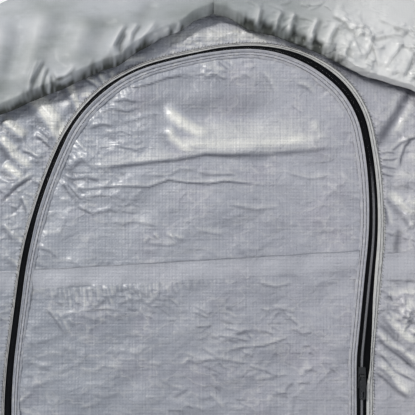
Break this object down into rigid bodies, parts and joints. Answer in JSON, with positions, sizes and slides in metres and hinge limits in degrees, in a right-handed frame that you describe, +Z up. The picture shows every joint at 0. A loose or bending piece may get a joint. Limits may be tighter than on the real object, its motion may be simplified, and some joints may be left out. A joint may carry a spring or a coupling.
{
  "type": "polytunnel greenhouse end wall with arched zip door",
  "caption": "Gable end wall of a small polytunnel greenhouse: woven sheet on a tube frame, with an arched zip door and the gathered front edge of the roof cover.",
  "frame": {"origin": "on the ground, at the middle of the base rail's flat underside", "axes": "+Z up, the wall's outer face looks along -Y, +X to the right as seen from outside"},
  "size_m": [2.032, 0.2015, 2.0171],
  "materials": {
    "frame_steel": "galvanised tube",
    "socket_steel": "zinc coated",
    "woven_sheet": "translucent silvery woven sheet, coated",
    "binding_tape": "pale folded binding with two rows of stitches",
    "zip_tape": "black woven tape",
    "zip_coil": "black moulded coil, slight shine",
    "zip_metal": "black enamel",
    "roof_sheet": "translucent greenish grey film, gathered"
  },
  "bodies": {
    "wall": {"base_rail": "frame_steel", "left_upright": "frame_steel", "right_upright": "frame_steel", "left_rafter": "frame_steel", "right_rafter": "frame_steel", "left_post_tube": "frame_steel", "right_post_tube": "frame_steel", "ridge_connector": "socket_steel", "left_eave_connector": "socket_steel", "right_eave_connector": "socket_steel", "left_foot_socket": "socket_steel", "right_foot_socket": "socket_steel", "left_post_foot": "socket_steel", "right_post_foot": "socket_steel", "left_post_clamp": "socket_steel", "right_post_clamp": "socket_steel", "gable_panel": "woven_sheet", "left_wall_panel": "woven_sheet", "right_wall_panel": "woven_sheet", "left_wall_seam": "woven_sheet", "right_wall_seam": "woven_sheet", "door_leaf": "woven_sheet", "door_seam": "woven_sheet", "door_hem": "woven_sheet", "wall_binding": "binding_tape", "door_binding": "binding_tape", "wall_zip_tape": "zip_tape", "door_zip_tape": "zip_tape", "wall_zip_coil": "zip_coil", "door_zip_coil": "zip_coil", "left_zip_stop": "zip_metal", "right_zip_stop": "zip_metal", "left_roof_cover": "roof_sheet", "right_roof_cover": "roof_sheet", "left_cover_bead": "roof_sheet", "right_cover_bead": "roof_sheet", "left_side_cover": "roof_sheet", "right_side_cover": "roof_sheet"},
    "slider": {"zip_slider": "zip_metal"},
    "pull": {"zip_pull": "zip_metal"}
  },
  "joints": [
    {"name": "slider_travel", "type": "slide", "parent": "wall", "child": "slider", "axis": [0, 0, -1], "range_m": [0, 1.218]},
    {"name": "pull_swing", "type": "hinge", "parent": "slider", "child": "pull", "pos_m": [0.22897, -0.0234, 1.29427], "axis": [-1, 0, 0], "range_deg": [0, 165]}
  ]
}
